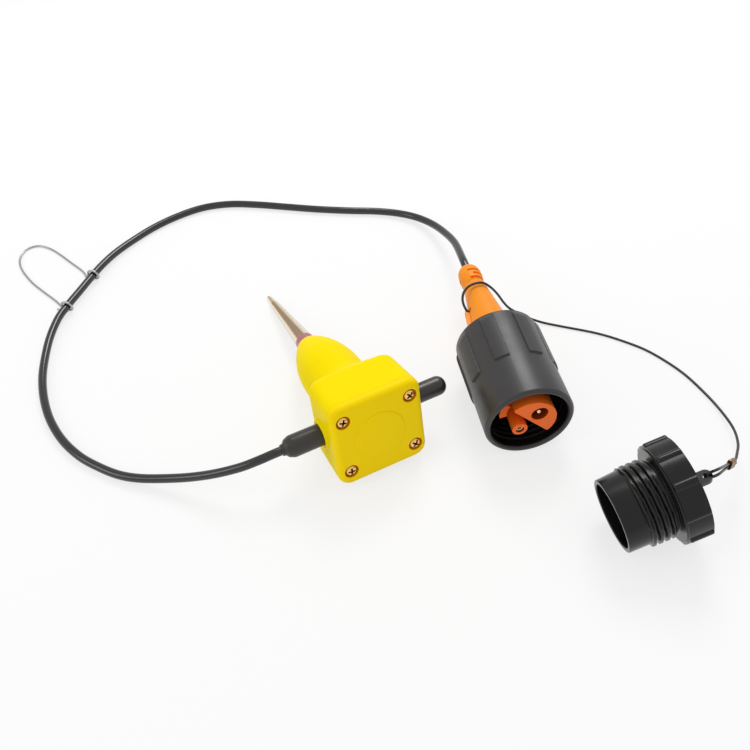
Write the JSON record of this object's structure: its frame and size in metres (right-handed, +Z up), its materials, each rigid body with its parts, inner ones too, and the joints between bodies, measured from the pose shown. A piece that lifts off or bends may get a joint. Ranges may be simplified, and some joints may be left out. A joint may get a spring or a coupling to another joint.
{
  "type": "geophone",
  "caption": "Spiked geophone lying on its side, with a lead to a ribbed coupling connector, a tethered threaded dust cap and a wire clip.",
  "frame": {"origin": "On the ground, below the middle of the geophone's length, as it lies at rest", "axes": "+Y along the ground from the screwed cap to the spike, +X towards the blind plug and the connector, +Z up"},
  "size_m": [0.2898, 0.3531, 0.0473],
  "materials": {
    "yellow_plastic": "glossy moulded yellow",
    "orange_plastic": "satin moulded orange",
    "black_plastic": "satin moulded black",
    "black_rubber": "soft matte black",
    "plated_steel": "turned, pale gold plating",
    "brass": "bright brass",
    "bright_steel": "bright steel",
    "copper_wire": "enamelled copper",
    "magnet": "ground magnet alloy",
    "insulating_board": "laminated board"
  },
  "bodies": {
    "geophone": {"case_body": "yellow_plastic", "case_cap": "yellow_plastic", "cap_seal": "black_rubber", "cap_screw_1": "brass", "cap_screw_2": "brass", "cap_screw_3": "brass", "cap_screw_4": "brass", "spike": "plated_steel", "lead_gland": "black_rubber", "blind_plug": "black_rubber", "element_can": "bright_steel", "element_top": "insulating_board", "element_base": "bright_steel", "terminal_pin_1": "brass", "terminal_pin_2": "brass", "pole_upper": "bright_steel", "pole_lower": "bright_steel", "magnet": "magnet", "spring_upper": "copper_wire", "spring_lower": "copper_wire", "core_wire_1": "copper_wire", "core_wire_2": "copper_wire", "connector_body": "orange_plastic", "contact_pin": "brass", "contact_socket": "brass", "face_seal": "black_rubber", "retaining_ring": "bright_steel", "strain_relief": "orange_plastic", "lead_cable": "black_plastic", "lanyard": "black_plastic", "lanyard_ferrule": "brass"},
    "moving_coil": {"coil_form": "bright_steel", "coil_lower": "copper_wire", "coil_upper": "copper_wire"},
    "collar": {"coupling_collar": "black_plastic"},
    "clip": {"wire_clip": "bright_steel"},
    "dust_cover": {"dust_cap": "black_plastic"}
  },
  "joints": [
    {"name": "coil_travel", "type": "slide", "parent": "geophone", "child": "moving_coil", "axis": [0, 0.9826, -0.1855], "range_m": [-0.001, 0.001], "stiffness_N_per_m": 73, "springref_m": -0.00046, "deforming": ["spring_upper", "spring_lower"]},
    {"name": "collar_spin", "type": "hinge", "parent": "geophone", "child": "collar", "pos_m": [0.0706, -0.0634, 0.021], "axis": [0.28, 0.96, 0], "continuous": true},
    {"name": "clip_swing", "type": "hinge", "parent": "geophone", "child": "clip", "pos_m": [-0.0906, 0.1224, 0.0038], "axis": [-0.7264, -0.6873, 0], "range_deg": [0, 180]},
    {"name": "cap_swing", "type": "hinge", "parent": "geophone", "child": "dust_cover", "pos_m": [0.1067, -0.1513, 0.02634], "axis": [0, 0, 1], "range_deg": [-30, 30]}
  ]
}
